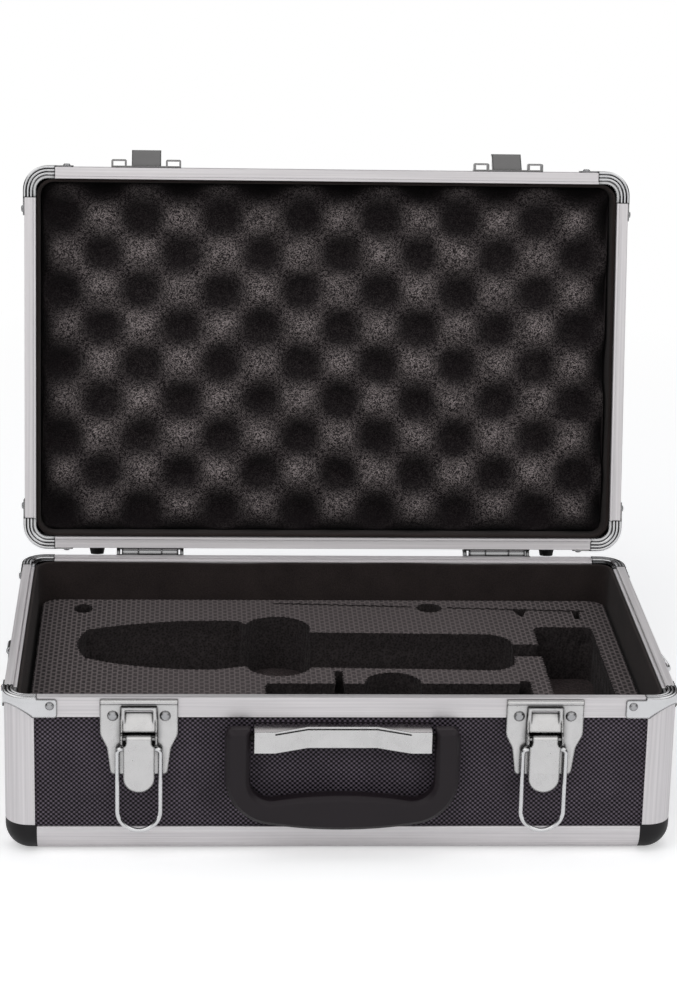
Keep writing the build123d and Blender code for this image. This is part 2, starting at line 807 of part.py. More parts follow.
def keeper():
    """Keeper at X = 0 on the shut lid: a plate with two raised wings by the rim and a hook for the bail."""
    half = latch_width / 2
    start = lid_rim_z + keeper_plate_start
    bend = keeper_bend_z
    foot = keeper_foot_z
    end = keeper_end_z
    sheet = keeper_sheet
    plate = Pos(-half_depth, 0) * outline(
        [
            (0, start),
            (0, bend),
            (panel_face, foot),
            (panel_face, end),
            (panel_face - sheet, end),
            (panel_face - sheet, foot),
            (-sheet, bend),
            (-sheet, start),
        ]
    )
    body = along_x(plate, -half, half)
    wing_z = start + keeper_wing_length
    middle = half - keeper_wing_width / 2
    inner_width = keeper_wing_width - 2 * sheet
    inner_height = keeper_wing_height - sheet
    for side in (-1, 1):
        cover = block(
            -keeper_wing_width / 2, keeper_wing_width / 2, -half_depth - keeper_wing_height, -half_depth, start, wing_z
        )
        front_edges = cover.edges().filter_by(Axis.Z).group_by(Axis.Y)[0]
        cover = fillet(front_edges, sheet)
        cover -= block(
            -inner_width / 2, inner_width / 2, -half_depth - inner_height, -half_depth - sheet, start, wing_z
        )
        body += Pos(side * middle, 0, 0) * cover
    seat = keeper_seat_z
    wall = -half_depth
    out = wall - keeper_hook_height
    thick = keeper_hook_sheet
    bend_in = keeper_hook_bend
    hook = outline(
        [
            (wall, seat - keeper_hook_slope),
            (out + bend_in, seat - thick),
            (out, seat + bend_in - thick),
            (out, seat + keeper_lip),
            (out + thick, seat + keeper_lip),
            (out + thick, seat + bend_in),
            (out + thick + bend_in, seat),
            (wall - keeper_hook_root, seat),
            (wall, seat - keeper_hook_root),
        ]
    )
    arm = along_x(hook, -keeper_hook_width / 2, keeper_hook_width / 2)
    return body + arm


def handle_bracket():
    """Folded handle bracket: a back plate on the panel, a flat top, end walls and a bowed front strip that
    stands well out at its ends and lies close to the panel in the middle."""
    back = panel_face - half_depth
    ends = -half_depth - bracket_out
    middle = -half_depth - bracket_middle_out
    bow = [
        (-bracket_half_width, ends),
        (-bracket_shoulder, ends),
        (-bracket_middle_half, middle),
        (bracket_middle_half, middle),
        (bracket_shoulder, ends),
        (bracket_half_width, ends),
    ]
    plan = outline([(-bracket_half_width, back)] + bow + [(bracket_half_width, back)])
    height = bracket_top - bracket_bottom
    solid = Pos(0, 0, bracket_bottom) * extrude(plan, amount=height)
    hollow = Pos(0, 0, bracket_bottom) * extrude(offset(plan, -bracket_sheet), amount=height - bracket_sheet)
    bracket = solid - hollow
    groove_z = bracket_top - bracket_sheet - bracket_groove
    groove = Pos(0, 0, groove_z) * extrude(plan - offset(plan, -bracket_groove), amount=bracket_groove)
    bracket -= groove & block(-bracket_shoulder, bracket_shoulder, ends, -half_depth - bracket_sheet, groove_z, bracket_top)
    bore = handle_pin_radius + running_fit
    inside = bracket_half_width - 2 * bracket_sheet
    for hole in both_sides(rod(bore, inside, bracket_half_width, handle_y, handle_pivot_z)):
        bracket -= hole
    return bracket


def handle_pins():
    """Two pins, headed inside the bracket's end walls, that the handle's arms turn on."""
    inside = bracket_half_width - bracket_sheet
    pin = rod(handle_pin_radius, inside, handle_arm_inner + handle_pin_depth - panel_fit, handle_y, handle_pivot_z)
    head = handle_pin_radius + handle_pin_head
    pin += rod(head, inside - handle_pin_head, inside, handle_y, handle_pivot_z)
    return both_sides(pin)


def handle_grip():
    """Moulded handle hanging down: two arms that round over at the pivot and a grip with a raised middle."""
    top = handle_pivot_z + handle_thickness / 2
    outer = handle_arm_outer
    inner = handle_arm_inner
    low = handle_pivot_z - handle_reach
    low_end = low + handle_bottom_rise
    grip = low + handle_grip_height
    grip_end = grip - handle_hump
    face = make_face(
        [
            ThreePointArc((-outer, low_end), (0, low), (outer, low_end)),
            Line((outer, low_end), (outer, top)),
            Line((outer, top), (inner, top)),
            Line((inner, top), (inner, grip_end)),
            ThreePointArc((inner, grip_end), (0, grip), (-inner, grip_end)),
            Line((-inner, grip_end), (-inner, top)),
            Line((-inner, top), (-outer, top)),
            Line((-outer, top), (-outer, low_end)),
        ]
    )
    for x, z, radius in (
        (outer, low_end, handle_outer_round),
        (inner, grip_end, handle_inner_round),
        (outer, top, handle_top_round),
    ):
        corners = [v for v in face.vertices() if abs(abs(v.X) - x) + abs(v.Y - z) < 0.01]
        face = fillet(corners, radius)
    solid = facing_front(face, handle_y + handle_thickness / 2, handle_thickness)
    rims = solid.faces().group_by(Axis.Y)
    solid = chamfer(rims[0].edges() + rims[-1].edges(), handle_edge)
    depth = handle_arm_inner + handle_pin_depth
    bore = handle_pin_radius + running_fit
    return solid - rod(bore, -depth, depth, handle_y, handle_pivot_z)


def ring_plate():
    """Plate of a strap ring on the right wall: a sheet on the panel and a barrel that holds the ring's bar."""
    half = ring_plate_depth / 2
    x0 = half_width - panel_face
    axis_x = half_width + ring_axis_out
    plate = block(x0, x0 + ring_sheet, -half, half, ring_plate_bottom, ring_axis_z)
    barrel = Pos(axis_x, 0, ring_axis_z) * Rot(90, 0, 0) * Cylinder(ring_barrel_radius, ring_barrel_length)
    neck = block(
        x0, axis_x, -ring_barrel_length / 2, ring_barrel_length / 2, ring_axis_z - ring_barrel_radius, ring_axis_z
    )
    bore = ring_wire_radius + running_fit
    hole = Pos(axis_x, 0, ring_axis_z) * Rot(90, 0, 0) * Cylinder(bore, ring_plate_depth)
    return plate + neck + barrel - hole


def ring_rivets():
    """Rivets that hold the ring plate on the right wall."""
    x = half_width - panel_face + ring_sheet
    z = ring_axis_z - ring_rivet_drop
    return [Pos(x, y, z) * Rot(0, 90, 0) * rivet_head(small_rivet_radius) for y in (-ring_rivet_y, ring_rivet_y)]


def strap_ring(swing):
    """D-shaped wire ring on the right wall, hanging from its straight bar and swung out by an angle."""
    w = ring_half_width
    b = ring_bend
    c = b * (1 - 1 / sqrt(2))
    s = -ring_shoulder
    path = Wire(
        [
            Line((0, 0), (w - b, 0)),
            ThreePointArc((w - b, 0), (w - c, -c), (w, -b)),
            Line((w, -b), (w, s)),
            ThreePointArc((w, s), (0, s - w), (-w, s)),
            Line((-w, s), (-w, -b)),
            ThreePointArc((-w, -b), (c - w, -c), (b - w, 0)),
            Line((b - w, 0), (0, 0)),
        ]
    )
    hanging = Plane(origin=(0, 0, 0), x_dir=(0, 1, 0), z_dir=(1, 0, 0)) * path
    start = Plane(origin=(0, 0, 0), z_dir=(0, 1, 0))
    ring = sweep(start * RegularPolygon(ring_wire_radius, wire_sides), path=hanging)
    return Pos(half_width + ring_axis_out, 0, ring_axis_z) * Rot(0, -swing, 0) * ring


def rear_foot(x, z):
    """Tapered rubber foot on a rear panel."""
    aligned = (Align.CENTER, Align.CENTER, Align.MIN)
    foot = Cone(foot_radius, foot_radius - foot_taper, panel_face + foot_height, align=aligned)
    return Pos(x, half_depth - panel_face, z) * Rot(-90, 0, 0) * foot


def save(name, *solids):
    """Writes one named piece, or one group of like pieces."""
    export_step(Compound(label=name, children=list(solids)), f"parts/{name}.step")


def save_base():
    """The base's shell, lining, foam, feet and hinge halves."""
    front, right, rear, left = wall_panels(base_height)
    save("base_floor_panel", floor_panel())
    save("base_front_panel", front)
    save("base_rear_panel", rear)
    save("base_left_panel", left)
    save("base_right_panel", right)
    front, right, rear, left = rim_rails(base_height, False)
    save("base_rim_rail_front", front)
    save("base_rim_rail_rear", rear)
    save("base_rim_rails_side", left, right)
    save("base_edge_rails", *edge_rails())
    save("base_corner_posts", *corner_posts(base_height))
    save("base_rim_corners", *rim_corners(base_height))
    save("base_ball_corners", *at_corners(ball_corner()))
    save("base_corner_rivets", *corner_rivets(base_height))
    save("base_lining", lining(base_height))
    save("foam_base_layer", foam_base_layer())
    save("foam_cut_layer", foam_cut_layer())
    save("base_rear_feet", rear_foot(-foot_x, base_foot_height), rear_foot(foot_x, base_foot_height))


def save_lid():
    """The lid's shell, lining, foam and feet."""

    def place(solids):
        return [open_lid(shut_lid(solid)) for solid in solids]

    rear, right, front, left = place(wall_panels(lid_height))
    save("lid_top_panel", *place([floor_panel()]))
    save("lid_front_panel", front)
    save("lid_rear_panel", rear)
    save("lid_side_panels", left, right)
    rear, right, front, left = place(rim_rails(lid_height, True))
    save("lid_rim_rail_front", front)
    save("lid_rim_rail_rear", rear)
    save("lid_rim_rails_side", left, right)
    save("lid_edge_rails", *place(edge_rails()))
    save("lid_corner_posts", *place(corner_posts(lid_height)))
    save("lid_rim_corners", *place(rim_corners(lid_height)))
    save("lid_ball_corners", *place(at_corners(ball_corner())))
    save("lid_corner_rivets", *place(corner_rivets(lid_height)))
    save("lid_lining", *place([lining(lid_height)]))
    save("lid_convoluted_foam", *place([convoluted_foam()]))
    foot_z = lid_rim_z + (lid_height - edge_flange + rim_flange) / 2
    save("lid_rear_feet", open_lid(rear_foot(-foot_x, foot_z)), open_lid(rear_foot(foot_x, foot_z)))


def save_hinges():
    """Two stop hinges."""
    fixed, moving, pin = hinge_parts()
    sides = [Pos(side * hinge_x, 0, 0) for side in (-1, 1)]
    save("hinge_leaves_base", *[place * fixed for place in sides])
    save("hinge_leaves_lid", *[open_lid(place * moving) for place in sides])
    save("hinge_pins", *[place * pin for place in sides])
    rivet_reach = rim_gap / 2 + (hinge_foot_start + hinge_leaf_height) / 2
    save("hinge_rivets_base", *hinge_rivets(hinge_z - rivet_reach))
    save("hinge_rivets_lid", *[open_lid(rivet) for rivet in hinge_rivets(hinge_z + rivet_reach)])


def save_latches():
    """Two draw latches on the base and their keepers on the lid."""
    sides = {"left": Pos(-latch_x, 0, 0), "right": Pos(latch_x, 0, 0)}
    keeper_face = panel_face - keeper_sheet - half_depth
    keeper_rivet_z = (keeper_foot_z + keeper_end_z) / 2
    latch_rivet_z = base_height - latch_rivet_drop
    latch_rivets = []
    keeper_rivets = []
    pins = []
    for side, place in sides.items():
        save(f"latch_plate_{side}", place * latch_plate())
        save(f"latch_lever_{side}", place * latch_lever())
        save(f"latch_bail_{side}", place * latch_bail())
        save(f"lid_keeper_{side}", open_lid(place * keeper()))
        pins.append(place * lever_pin())
        for offset in (-1, 1):
            rivet = front_rivet(latch_rivet_radius, offset * latch_rivet_x, plate_face, latch_rivet_z)
            latch_rivets.append(place * rivet)
            rivet = front_rivet(keeper_rivet_radius, offset * keeper_rivet_x, keeper_face, keeper_rivet_z)
            keeper_rivets.append(open_lid(place * rivet))
    save("latch_pins", *pins)
    save("latch_rivets", *latch_rivets)
    save("lid_keeper_rivets", *keeper_rivets)


def save_handle_and_rings():
    """Carrying handle with its bracket and pins, and the two strap rings."""
    save("handle_bracket", handle_bracket())
    save("handle_pins", *handle_pins())
    save("handle_grip", handle_grip())
    save("ring_plates", *both_sides(ring_plate()))
    rivets = []
    for rivet in ring_rivets():
        rivets += both_sides(rivet)
    save("ring_rivets", *rivets)
    save("side_ring_left", mirror(strap_ring(0), about=Plane.YZ))
    save("side_ring_right", strap_ring(ring_right_swing))


os.makedirs("parts", exist_ok=True)
save_base()
save_lid()
save_hinges()
save_latches()
save_handle_and_rings()
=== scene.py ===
"""Looks of the metal tool case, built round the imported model. Metres, in the frame of the CAD part."""

import json
from math import cos, pi, radians, sin

import bmesh
import bpy
import numpy as np
from mathutils import Matrix, Vector


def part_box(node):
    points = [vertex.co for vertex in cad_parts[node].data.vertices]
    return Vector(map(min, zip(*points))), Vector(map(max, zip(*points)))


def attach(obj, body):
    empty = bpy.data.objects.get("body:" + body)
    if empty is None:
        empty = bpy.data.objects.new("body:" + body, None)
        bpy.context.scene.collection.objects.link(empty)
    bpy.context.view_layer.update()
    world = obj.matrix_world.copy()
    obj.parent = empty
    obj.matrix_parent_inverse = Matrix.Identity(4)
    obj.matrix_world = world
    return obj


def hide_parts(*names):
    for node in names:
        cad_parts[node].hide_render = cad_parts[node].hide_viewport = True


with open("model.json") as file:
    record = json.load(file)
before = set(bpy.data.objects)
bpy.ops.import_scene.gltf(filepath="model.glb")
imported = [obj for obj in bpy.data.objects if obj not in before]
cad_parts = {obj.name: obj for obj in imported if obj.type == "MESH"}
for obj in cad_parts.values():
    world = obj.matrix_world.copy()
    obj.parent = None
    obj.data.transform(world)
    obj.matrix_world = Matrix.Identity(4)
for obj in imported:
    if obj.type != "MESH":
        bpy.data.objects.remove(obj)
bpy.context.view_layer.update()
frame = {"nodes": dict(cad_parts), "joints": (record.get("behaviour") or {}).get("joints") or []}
nodes = frame["nodes"]
scene = bpy.context.scene
scene.view_settings.view_transform = "Standard"


# Camera
# The viewpoint of the photograph: in front of the case, a little left of its middle, looking down at it.
camera_place = Vector((-0.0813, -1.47252, 0.63982))
camera_down = radians(18.2033)
camera_turn = radians(3.2165)
camera_lean = radians(1.2999)
camera_focal = 105.84

ahead = Vector((sin(camera_turn) * cos(camera_down), cos(camera_turn) * cos(camera_down), -sin(camera_down)))
level = Vector((cos(camera_turn), -sin(camera_turn), 0))
upright = level.cross(ahead)
across = level * cos(camera_lean) + upright * sin(camera_lean)
above = upright * cos(camera_lean) - level * sin(camera_lean)
camera = bpy.data.objects.new("camera", bpy.data.cameras.new("camera"))
camera.data.lens = camera_focal
camera.data.sensor_width = 36
camera.data.clip_end = 50
camera.matrix_world = Matrix((across, above, -ahead)).transposed().to_4x4()
camera.location = camera_place
scene.collection.objects.link(camera)
scene.camera = camera


# Studio
# A pale floor, a white surround and soft lamps. Polished metal mirrors a room that is bright in front and
# high up, and dark overhead and low at the sides and behind. The floor keeps the shadow of the case.
lamp_aim = Vector((0, 0, 0.12))
lamp_settings = [
    ("key_lamp", (-1.1, -1.3, 1.7), 2.0, 20),
    ("fill_lamp", (1.5, -1.2, 1.0), 1.6, 9),
    ("top_lamp", (0.1, 0.1, 2.0), 2.0, 13),
    ("low_lamp", (0.0, -2.2, 0.35), 0.9, 3),
]
for lamp_name, lamp_place, lamp_size, lamp_power in lamp_settings:
    lamp = bpy.data.objects.new(lamp_name, bpy.data.lights.new(lamp_name, "AREA"))
    lamp.data.size = lamp_size
    lamp.data.energy = lamp_power
    lamp.visible_glossy = False
    lamp.location = lamp_place
    lamp.rotation_euler = (lamp_aim - Vector(lamp_place)).to_track_quat("-Z", "Y").to_euler()
    scene.collection.objects.link(lamp)


def node(tree, kind, settings=None, **inputs):
    """Adds a shader node. settings are its own options. inputs are its sockets, by name or as i0, i1 and so
    on: a value, or a socket to link."""
    made = tree.nodes.new("ShaderNode" + kind)
    for name, value in (settings or {}).items():
        setattr(made, name, value)
    for name, value in inputs.items():
        socket = made.inputs[int(name[1:]) if name[1:].isdigit() else name.replace("_", " ")]
        if isinstance(value, bpy.types.NodeSocket):
            tree.links.new(value, socket)
        else:
            socket.default_value = value
    return made


def maths(tree, operation, *values):
    """One step of arithmetic on plain numbers."""
    inputs = {f"i{place}": value for place, value in enumerate(values)}
    return node(tree, "Math", {"operation": operation}, **inputs).outputs[0]


def spread(tree, value, low, high, start=0.0, end=1.0, **settings):
    """Carries a number from low and high over to start and end, and holds it there beyond them."""
    return node(tree, "MapRange", settings, i0=value, i1=low, i2=high, i3=start, i4=end).outputs[0]


def parts_of(tree, vector):
    """The X, Y and Z of a vector."""
    return node(tree, "SeparateXYZ", i0=vector).outputs


world = bpy.data.worlds.new("studio")
scene.world = world
world.use_nodes = True
tree = world.node_tree
tree.nodes.clear()
direction = parts_of(tree, node(tree, "TexCoord").outputs["Generated"])
high_band = spread(tree, direction["Z"], 0.33, 0.6, 0.05, 1.1)
overhead = spread(tree, direction["Z"], 0.84, 0.97, 1.0, 0.3)
in_front = spread(tree, direction["Y"], -0.6, -0.9, 0.05, 0.9)
room = maths(tree, "MAXIMUM", maths(tree, "MULTIPLY", high_band, overhead), in_front)
plain = node(tree, "Background", Color=(0.93, 0.95, 1.0, 1), Strength=0.3)
seen = node(tree, "Background", Color=(1, 1, 1, 1), Strength=1.0)
mirrored = node(tree, "Background", Color=(1, 1, 1, 1), Strength=room)
path = node(tree, "LightPath").outputs
glossy = maths(tree, "MAXIMUM", path["Is Glossy Ray"], path["Is Transmission Ray"])
lit = node(tree, "MixShader", i0=glossy, i1=plain.outputs[0], i2=mirrored.outputs[0])
shown = node(tree, "MixShader", i0=path["Is Camera Ray"], i1=lit.outputs[0], i2=seen.outputs[0])
node(tree, "OutputWorld", Surface=shown.outputs[0])

floor_reach = 8
floor_near = 0.4
floor_far = 1.0
floor_mesh = bpy.data.meshes.new("floor")
corners = [(x * floor_reach, y * floor_reach, 0) for x, y in ((-1, -1), (1, -1), (1, 1), (-1, 1))]
floor_mesh.from_pydata(corners, [], [(0, 1, 2, 3)])
floor = bpy.data.objects.new("floor", floor_mesh)
scene.collection.objects.link(floor)
paper = bpy.data.materials.new("studio_paper")
paper.use_nodes = True
tree = paper.node_tree
tree.nodes.clear()
matt = node(tree, "BsdfDiffuse", Color=(0.8, 0.8, 0.8, 1))
path = node(tree, "LightPath").outputs
lift = maths(tree, "MULTIPLY", path["Is Camera Ray"], 0.42)
lift = maths(tree, "MULTIPLY_ADD", path["Is Glossy Ray"], 0.12, lift)
glow = node(tree, "Emission", Color=(1, 1, 1, 1), Strength=lift)
near = node(tree, "AddShader", i0=matt.outputs[0], i1=glow.outputs[0])
lift = maths(tree, "MULTIPLY_ADD", path["Is Camera Ray"], 0.4, 0.6)
lift = maths(tree, "MULTIPLY_ADD", path["Is Glossy Ray"], -0.12, lift)
far = node(tree, "Emission", Color=(1, 1, 1, 1), Strength=lift)
place = node(tree, "TexCoord").outputs["Object"]
distance = node(tree, "VectorMath", {"operation": "LENGTH"}, i0=place).outputs["Value"]
away = spread(tree, distance, floor_near, floor_far)
both = node(tree, "MixShader", i0=away, i1=near.outputs[0], i2=far.outputs[0])
node(tree, "OutputMaterial", Surface=both.outputs[0])
floor_mesh.materials.append(paper)


# Wall, floor and lid panels
# Thin board faced with black plastic that is embossed with a fine diagonal lattice of pits. Each panel sits
# in the slots of the extrusions round it.
lid_joint = next(joint for joint in frame["joints"] if joint["name"] == "lid_hinge")
lid_pivot = Vector(lid_joint["pos_m"])
lid_open = radians(lid_joint["range_deg"][1])
base_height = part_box("base_rim_rail_front")[1].z
lid_height = 0.037
lid_top = 2 * lid_pivot.z - base_height + lid_height
lattice_pitch = 0.00259
lattice_row = 0.00243


def about_hinge(angle):
    """A turn about the lid's hinge: lid_open shuts the open lid, and its opposite opens the shut one."""
    return Matrix.Translation(lid_pivot) @ Matrix.Rotation(angle, 4, "X") @ Matrix.Translation(-lid_pivot)


def turned_over():
    """Turns a tray with its floor at Z = 0 over onto the base, and the shut lid back into such a tray."""
    return Matrix.Translation((0, 0, lid_top)) @ Matrix.Rotation(pi, 4, "X")


def tray_coordinates(tree, in_lid):
    """Object coordinates, or for a piece of the open lid those of the tray that it was before it was turned
    over and opened: floor at Z = 0, rim up."""
    place = node(tree, "TexCoord").outputs["Object"]
    if not in_lid:
        return place
    spot = turned_over() @ about_hinge(lid_open)
    angle = (lid_open + pi, 0, 0)
    return node(tree, "Mapping", Vector=place, Location=spot.to_translation(), Rotation=angle).outputs[0]


def new_finish(name):
    """A material with an empty node tree."""
    made = bpy.data.materials.new(name)
    made.use_nodes = True
    made.node_tree.nodes.clear()
    return made, made.node_tree


def finish_nodes(material, *names):
    """Gives CAD nodes a material in place of their plain one."""
    for name in names:
        nodes[name].data.materials.clear()
        nodes[name].data.materials.append(material)


def noise(tree, place, scale, detail, roughness=0.5):
    """Fractal noise from 0 to 1, with grains about 1 / scale metres across."""
    return node(tree, "TexNoise", Vector=place, Scale=scale, Detail=detail, Roughness=roughness).outputs[0]


def wave_along(tree, value, pitch):
    """The cosine of a length, with a given pitch."""
    return maths(tree, "COSINE", maths(tree, "MULTIPLY", value, 2 * pi / pitch))


def blend(tree, share, first, second, **settings):
    """Mixes two colours. Each is a socket or red, green and blue."""
    first, second = (part + (1,) if isinstance(part, tuple) else part for part in (first, second))
    return node(tree, "Mix", {"data_type": "RGBA", **settings}, i0=share, i6=first, i7=second).outputs[2]


def relief(tree, height, strength, distance, **inputs):
    """Normals bumped by a height."""
    return node(tree, "Bump", Strength=strength, Distance=distance, Height=height, **inputs).outputs[0]


def surface(tree, colour, rough, normal, **inputs):
    """Ends a material in one shader."""
    shader = node(tree, "BsdfPrincipled", Base_Color=colour, Roughness=rough, Normal=normal, **inputs)
    node(tree, "OutputMaterial", Surface=shader.outputs[0])


def embossed_panel(name, in_lid, first, second):
    """Black plastic with small pits where the product of two cosines is near 1: each row of pits is shifted
    half a pitch from the next. The pits are painted near black as painted shade, and the ridges between them
    painted lighter as painted light. first and second are the panel's own two directions."""
    made, tree = new_finish(name)
    tray = tray_coordinates(tree, in_lid)
    place = parts_of(tree, tray)
    first_wave = wave_along(tree, place[first], lattice_pitch)
    lattice = maths(tree, "MULTIPLY", first_wave, wave_along(tree, place[second], lattice_row))
    # Painted shade in the pits and painted light on the ridges between them.
    ground = spread(tree, lattice, 0.5, -0.25)
    ridge = spread(tree, lattice, -0.2, -0.9, 0.75, 1.7)
    cloud = spread(tree, noise(tree, tray, 45, 3), 0.3, 0.7, 0.8, 1.2)
    tone = maths(tree, "MULTIPLY", maths(tree, "MULTIPLY", ground, ridge), cloud)
    colour = blend(tree, tone, (0.0008, 0.0007, 0.0008), (0.088, 0.072, 0.091), clamp_factor=False)
    surface(tree, colour, 0.4, relief(tree, ground, 0.8, 0.0004), Specular_IOR_Level=0.15)
    return made


finish_nodes(embossed_panel("base_long_panel", False, "X", "Z"), "base_front_panel", "base_rear_panel")
finish_nodes(embossed_panel("base_side_panel", False, "Y", "Z"), "base_left_panel", "base_right_panel")
finish_nodes(embossed_panel("base_floor_panel", False, "X", "Y"), "base_floor_panel")
finish_nodes(embossed_panel("lid_long_panel", True, "X", "Z"), "lid_front_panel", "lid_rear_panel")
finish_nodes(embossed_panel("lid_side_panel", True, "Y", "Z"), "lid_side_panels")
finish_nodes(embossed_panel("lid_top_panel", True, "X", "Y"), "lid_top_panel")


# Aluminium extrusions
# Edge rails, corner posts and rim rails of satin anodised aluminium. Fine lines from the die run along each
# one, and its sawn ends and edges catch the light.
case_half_depth = -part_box("base_rim_rail_front")[0].y
rail_width = 0.016
streaks_along = 9
streaks_across = 900


def painted_crevice_shade(tree, colour, reach, shut, clear, depth):
    """Paints shade into a colour where another surface is close: painted shade, and painted dark reflections
    where the room is shut off. shut and clear are the open shares at which it is at its darkest and
    untouched, depth is what is left of it there."""
    open_share = node(tree, "AmbientOcclusion", {"samples": 8}, Distance=reach).outputs["AO"]
    return blend(tree, 1.0, colour, spread(tree, open_share, shut, clear, depth, 1.0), blend_type="MULTIPLY")


def rounded_edges(tree, radius, samples=6):
    """Normals that turn smoothly over the edges within a radius."""
    return node(tree, "Bevel", {"samples": samples}, Radius=radius).outputs[0]


def anodised(name, in_lid, run):
    """Satin metal with noise stretched along the extrusion. run is X, Y or Z, or XY for rails of both
    directions, told apart by how near they lie to the front or rear wall."""
    made, tree = new_finish(name)
    place = tray_coordinates(tree, in_lid)
    streaks = []
    for way in run:
        stretch = [streaks_along if axis == way else streaks_across for axis in "XYZ"]
        drawn = node(tree, "Mapping", Vector=place, Scale=stretch).outputs[0]
        streaks.append(noise(tree, drawn, 1, 3, 0.6))
    lines = streaks[0]
    if len(streaks) == 2:
        off_middle = maths(tree, "ABSOLUTE", parts_of(tree, place)["Y"])
        on_side = maths(tree, "LESS_THAN", off_middle, case_half_depth - rail_width)
        lines = node(tree, "Mix", i0=on_side, i2=streaks[0], i3=streaks[1]).outputs[0]
    colour = blend(tree, spread(tree, lines, 0.25, 0.75), (0.66, 0.635, 0.645), (0.87, 0.84, 0.85))
    # Painted shade where another surface is close.
    colour = painted_crevice_shade(tree, colour, reach=0.0012, shut=0.1, clear=0.7, depth=0.2)
    normal = relief(tree, lines, 0.10, 0.0002, Normal=rounded_edges(tree, 0.0005, samples=4))
    surface(tree, colour, spread(tree, lines, 0.3, 0.7, 0.34, 0.46), normal, Metallic=0.72)
    return made


finish_nodes(anodised("base_rails_along", False, "X"), "base_rim_rail_front", "base_rim_rail_rear")
finish_nodes(anodised("base_rails_side", False, "Y"), "base_rim_rails_side")
finish_nodes(anodised("base_rails_edge", False, "XY"), "base_edge_rails")
finish_nodes(anodised("base_posts", False, "Z"), "base_corner_posts")
finish_nodes(anodised("lid_rails_along", True, "X"), "lid_rim_rail_front", "lid_rim_rail_rear")
finish_nodes(anodised("lid_rails_side", True, "Y"), "lid_rim_rails_side")
finish_nodes(anodised("lid_rails_edge", True, "XY"), "lid_edge_rails")
finish_nodes(anodised("lid_posts", True, "Z"), "lid_corner_posts")


# Ball corners
# Smooth black plastic mouldings that close the three edge extrusions at each outer corner.
def shaded(colour, share):
    """A colour times a number."""
    return tuple(part * share for part in colour)


def moulded(name, colour, rough, grain, rounding=0.0006):
    """Plain moulded plastic with a faint grain. rounding is the radius of its edges."""
    made, tree = new_finish(name)
    place = node(tree, "TexCoord").outputs["Object"]
    fine = noise(tree, place, grain, 4, 0.6)
    tint = blend(tree, noise(tree, place, 40, 3), shaded(colour, 0.75), colour)
    gloss = spread(tree, fine, 0.3, 0.7, rough - 0.05, rough + 0.07)
    normal = relief(tree, fine, 0.15, 0.0001, Normal=rounded_edges(tree, rounding))
    surface(tree, tint, gloss, normal, Specular_IOR_Level=0.3)
    return made


corner_plastic = moulded("corner_plastic", (0.008, 0.007, 0.008), 0.42, 900)
finish_nodes(corner_plastic, "base_ball_corners", "lid_ball_corners")


# Rim corners, rivets, bails and strap rings
# Pressed or bent steel with bright chrome plating: it mirrors the room, with a few faint rub marks. A dark
# line is painted along its edges as a painted reflection. The rivets are painted darker, as a painted
# reflection of the dark room in their small domes.
def plated(name, colour, rough, rub, rounding=0.0003, outline=0.0015):
    """Plated steel whose roughness varies from rough by rub, in patches. rounding is the radius of its edges.
    outline is the reach of the dark line painted along them, a painted reflection of the dark parts of the
    room."""
    made, tree = new_finish(name)
    place = node(tree, "TexCoord").outputs["Object"]
    cloud = noise(tree, place, 120, 4, 0.65)
    tint = blend(tree, cloud, colour, shaded(colour, 0.86))
    face = node(tree, "NewGeometry").outputs["True Normal"]
    edge = rounded_edges(tree, outline)
    flat = node(tree, "VectorMath", {"operation": "DOT_PRODUCT"}, i0=edge, i1=face).outputs["Value"]
    # Painted reflection: a dark line painted along the rounded edges.
    tint = blend(tree, 1.0, tint, spread(tree, flat, 0.86, 0.975, 0.06, 1.0), blend_type="MULTIPLY")
    # Painted shade where another surface is close.
    tint = painted_crevice_shade(tree, tint, reach=0.004, shut=0.3, clear=0.92, depth=0.02)
    gloss = spread(tree, cloud, 0.35, 0.75, rough, rough + rub)
    normal = relief(tree, noise(tree, place, 1600, 2), 0.04, 0.0001, Normal=rounded_edges(tree, rounding))
    surface(tree, tint, gloss, normal, Metallic=1.0)
    return made


no_outline = 0.0001
chrome = plated("chrome", (0.84, 0.84, 0.85), 0.07, 0.08)
finish_nodes(chrome, "base_rim_corners", "lid_rim_corners", "ring_plates")
wire = plated("chrome_wire", (0.84, 0.84, 0.85), 0.07, 0.08, rounding=0.0008, outline=no_outline)
finish_nodes(wire, "latch_bail_left", "latch_bail_right", "side_ring_left", "side_ring_right")
# Painted reflection: the rivet heads are painted darker than the chrome, for the dark room their domes
# mirror.
heads = plated("chrome_heads", (0.50, 0.50, 0.51), 0.09, 0.08, rounding=0.0014, outline=no_outline)
finish_nodes(heads, "base_corner_rivets", "lid_corner_rivets", "ring_rivets")
finish_nodes(heads, "latch_rivets", "lid_keeper_rivets")


# Latches, keepers and handle bracket
# Pressed steel with a softer nickel plating, a little warmer and less sharp than the chrome. The keepers are
# sharper, and painted darker as a painted reflection of the dark room that their front faces mirror.
nickel_colour = (0.78, 0.77, 0.765)
nickel = plated("nickel", nickel_colour, 0.2, 0.12)
finish_nodes(nickel, "latch_plate_left", "latch_plate_right", "latch_pins")
finish_nodes(nickel, "latch_lever_left", "latch_lever_right")
folded = plated("nickel_folded", nickel_colour, 0.2, 0.12, outline=0.0006)
finish_nodes(folded, "handle_bracket")
# Painted reflection: the keepers are painted darker than the nickel, for the dark room their faces mirror.
keeper_painted_dark = plated("keeper_painted_dark", (0.55, 0.54, 0.54), 0.1, 0.06)
finish_nodes(keeper_painted_dark, "lid_keeper_left", "lid_keeper_right")


# Hinges
# Zinc plated steel: two leaves of each hinge, its pin and its rivets.
zinc = plated("zinc", (0.46, 0.46, 0.465), 0.2, 0.12)
finish_nodes(zinc, "hinge_leaves_base", "hinge_leaves_lid", "hinge_pins")
finish_nodes(zinc, "hinge_rivets_base", "hinge_rivets_lid")


